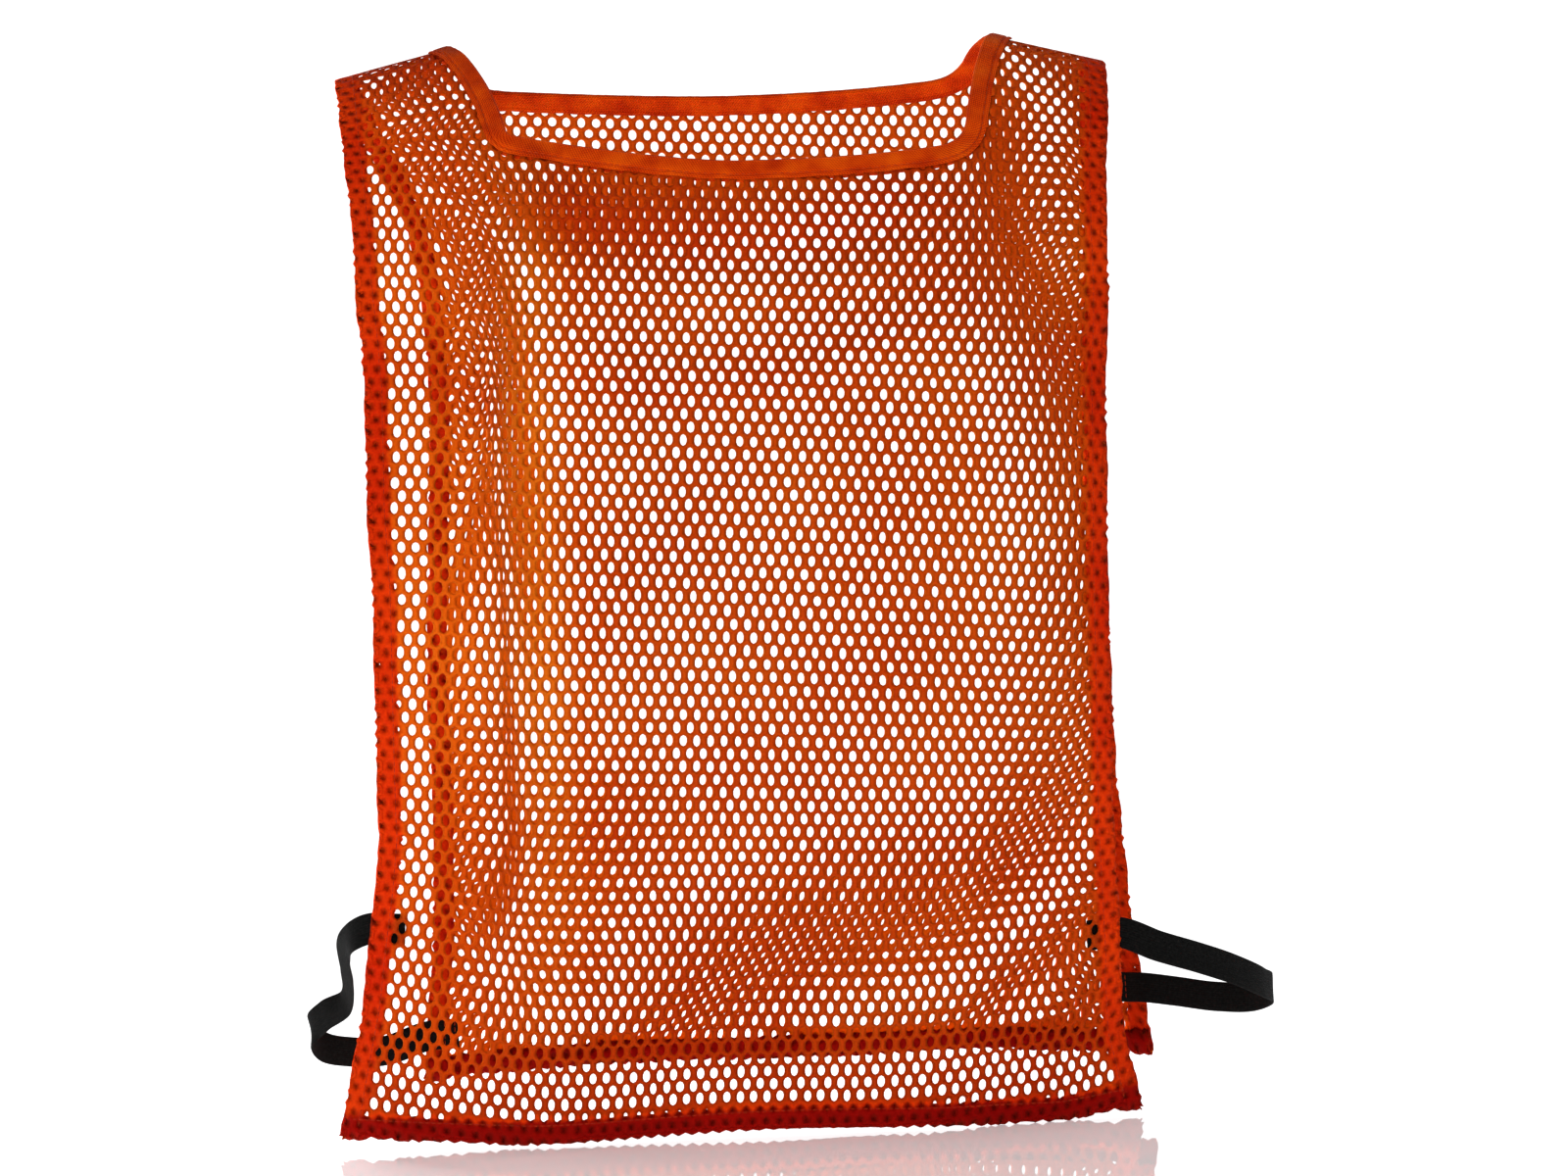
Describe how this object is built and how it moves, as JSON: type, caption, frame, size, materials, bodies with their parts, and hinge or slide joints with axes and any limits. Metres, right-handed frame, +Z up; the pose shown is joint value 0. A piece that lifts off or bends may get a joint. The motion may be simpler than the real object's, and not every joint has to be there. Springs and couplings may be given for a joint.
{
  "type": "mesh training vest",
  "caption": "Sleeveless pull-over mesh vest in bright orange, worn shape, with taped square neck, turned hems and elastic side straps.",
  "frame": {"origin": "middle of the shoulder ridge, between the two shoulders, at the height of the neck ends of the shoulder seams: where a wearer or a form carries the vest", "axes": "+Z up; -Y out of the chest, so the front panel is at -Y and the back panel at +Y; +X towards the right-hand side seen from the front"},
  "size_m": [0.4869, 0.2099, 0.5395],
  "materials": {
    "mesh_cloth": "open porthole mesh knit, satin polyester",
    "hem_cloth": "the same mesh knit, turned double",
    "binding_tape": "fine ribbed knit tape",
    "elastic": "matte woven elastic with lengthwise ribs",
    "thread": "spun polyester sewing thread"
  },
  "bodies": {
    "back": {"back_panel": "mesh_cloth", "back_bottom_hem": "hem_cloth", "back_neck_binding": "binding_tape", "back_left_side_hem": "hem_cloth", "back_right_side_hem": "hem_cloth", "back_bottom_hem_thread": "thread", "back_neck_thread": "thread", "back_left_hem_thread": "thread", "back_right_hem_thread": "thread", "back_left_bartack": "thread", "back_right_bartack": "thread", "left_shoulder_seam": "hem_cloth", "right_shoulder_seam": "hem_cloth", "left_shoulder_thread": "thread", "right_shoulder_thread": "thread", "left_strap": "elastic", "right_strap": "elastic"},
    "front": {"front_panel": "mesh_cloth", "front_bottom_hem": "hem_cloth", "front_neck_binding": "binding_tape", "front_left_side_hem": "hem_cloth", "front_right_side_hem": "hem_cloth", "front_bottom_hem_thread": "thread", "front_neck_thread": "thread", "front_left_hem_thread": "thread", "front_right_hem_thread": "thread", "front_left_bartack": "thread", "front_right_bartack": "thread"}
  },
  "joints": [
    {"name": "front_panel_swing", "type": "hinge", "parent": "back", "child": "front", "pos_m": [0, 0, 0.002], "axis": [-1, 0, 0], "range_deg": [0, 30], "deforming": ["left_strap", "right_strap"]}
  ]
}
